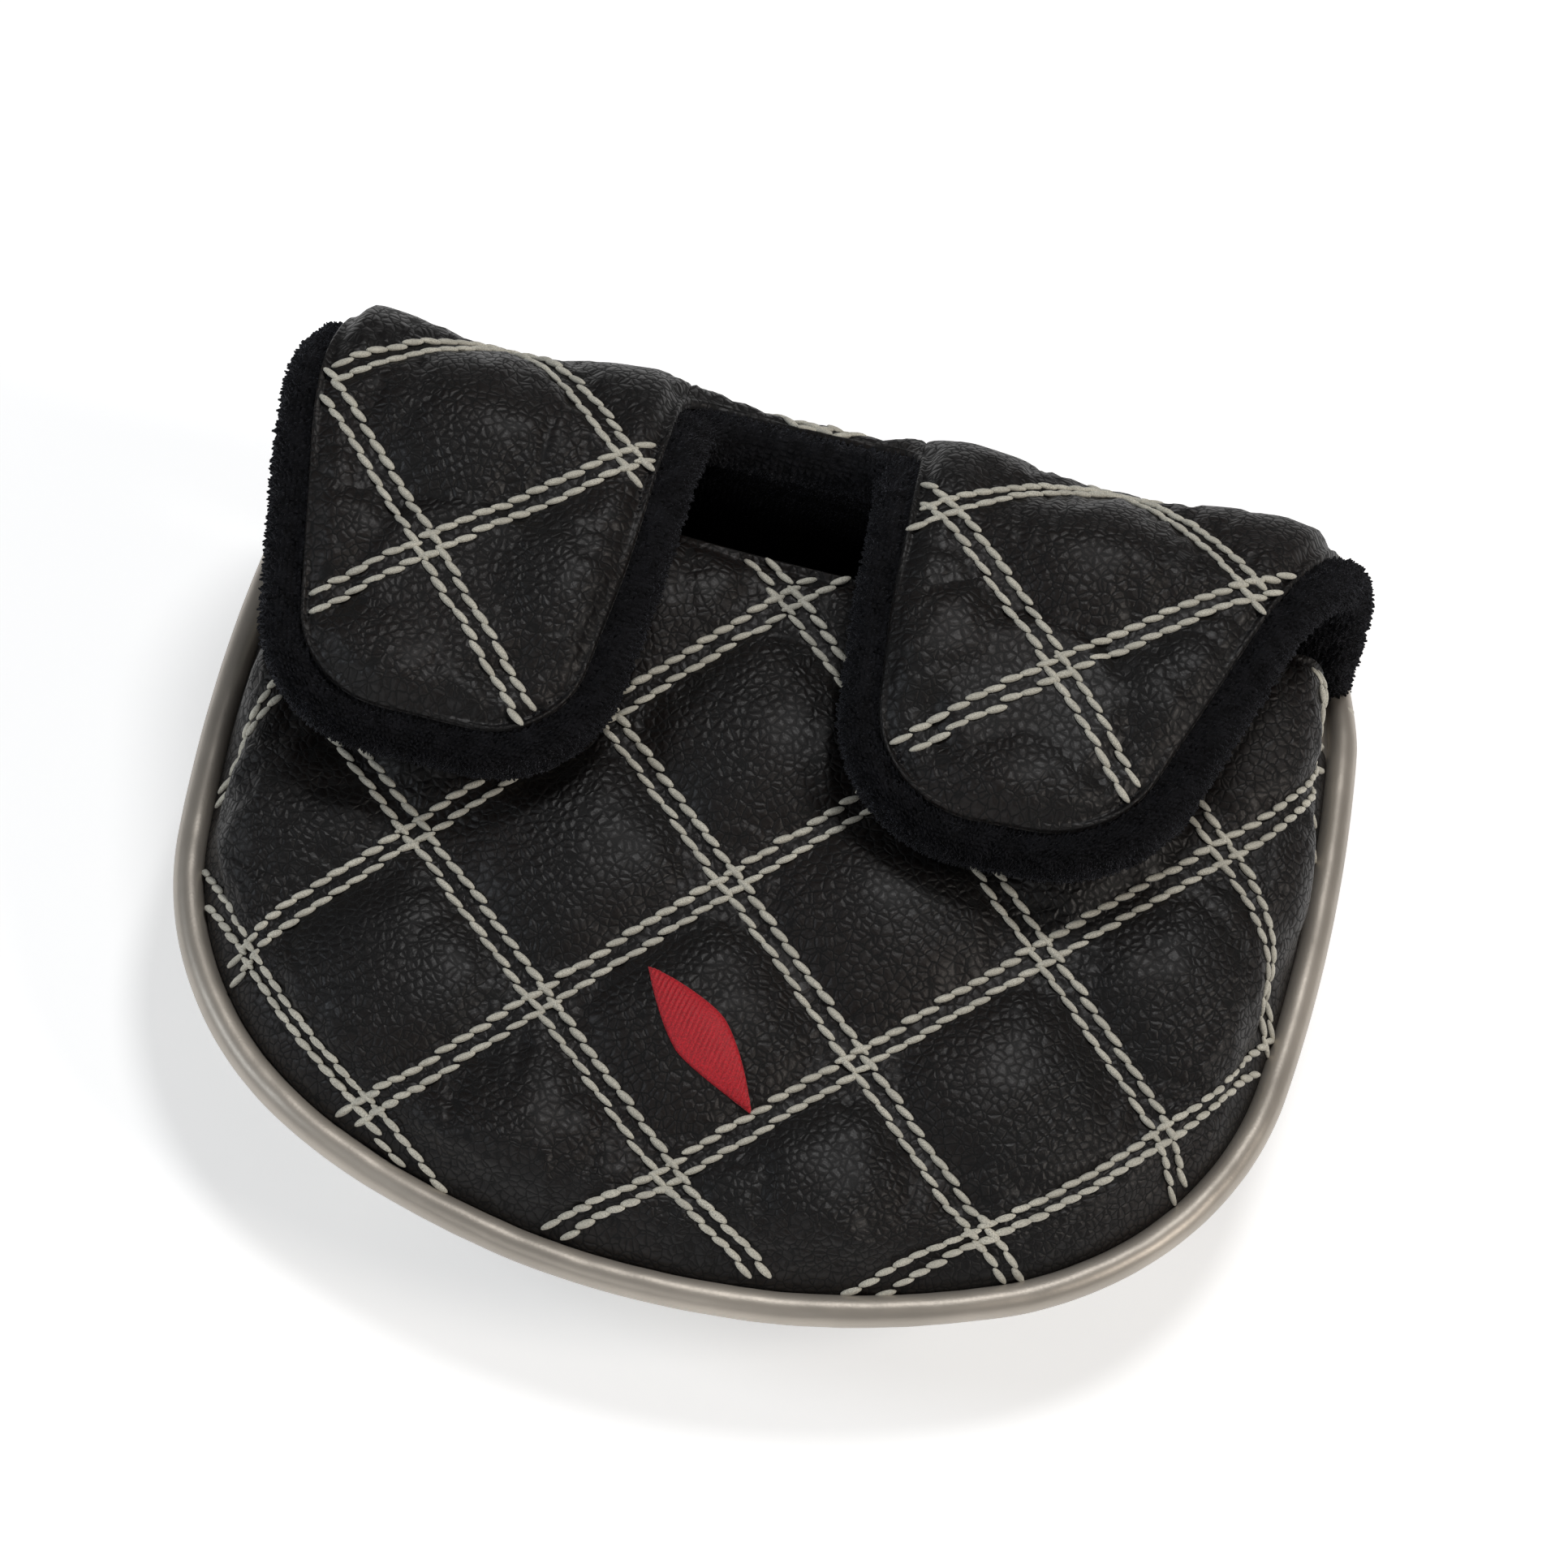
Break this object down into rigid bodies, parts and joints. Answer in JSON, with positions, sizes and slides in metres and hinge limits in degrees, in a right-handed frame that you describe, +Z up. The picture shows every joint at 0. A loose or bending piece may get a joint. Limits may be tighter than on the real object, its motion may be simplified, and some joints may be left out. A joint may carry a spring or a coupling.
{
  "type": "putter head cover",
  "caption": "Quilted leather cover for a mallet putter head: a fleece-lined D-shaped pouch with a fold-over front wall and magnetic flaps either side of the shaft gap",
  "frame": {"origin": "middle of the bounding box, on the surface the cover rests on", "axes": "+X towards the right of the cover seen from its rear, along its widest extent; +Y towards the front wall that folds over; +Z up"},
  "size_m": [0.13, 0.106, 0.0512],
  "materials": {
    "leather": "black pebbled synthetic leather, quilted with doubled pale stitching",
    "fleece": "black plush fleece pile",
    "foam": "soft polyester wadding",
    "piping": "satin champagne-silver vinyl sleeve",
    "piping_core": "twisted cotton filler cord",
    "magnet": "nickel-plated disc",
    "emblem": "red satin-stitch embroidery"
  },
  "bodies": {
    "pouch": {"crown_leather": "leather", "crown_foam": "foam", "crown_fleece": "fleece", "sole_leather": "leather", "sole_foam": "foam", "sole_fleece": "fleece", "piping_sleeve": "piping", "piping_cord": "piping_core", "left_crown_magnet": "magnet", "right_crown_magnet": "magnet", "emblem": "emblem"},
    "front_wall": {"front_leather": "leather", "front_foam": "foam", "front_fleece": "fleece"},
    "left_flap": {"left_flap_leather": "leather", "left_flap_foam": "foam", "left_flap_fleece": "fleece", "left_flap_magnet": "magnet"},
    "right_flap": {"right_flap_leather": "leather", "right_flap_foam": "foam", "right_flap_fleece": "fleece", "right_flap_magnet": "magnet"}
  },
  "joints": [
    {"name": "front_wall_fold", "type": "hinge", "parent": "pouch", "child": "front_wall", "pos_m": [0, 0.04949, 0.00351], "axis": [-1, 0, 0], "range_deg": [0, 75]},
    {"name": "left_flap_fold", "type": "hinge", "parent": "front_wall", "child": "left_flap", "pos_m": [0, 0.04657, 0.04694], "axis": [-1, 0, 0], "range_deg": [0, 110]},
    {"name": "right_flap_fold", "type": "hinge", "parent": "front_wall", "child": "right_flap", "pos_m": [0, 0.04657, 0.04694], "axis": [-1, 0, 0], "range_deg": [0, 110]}
  ]
}
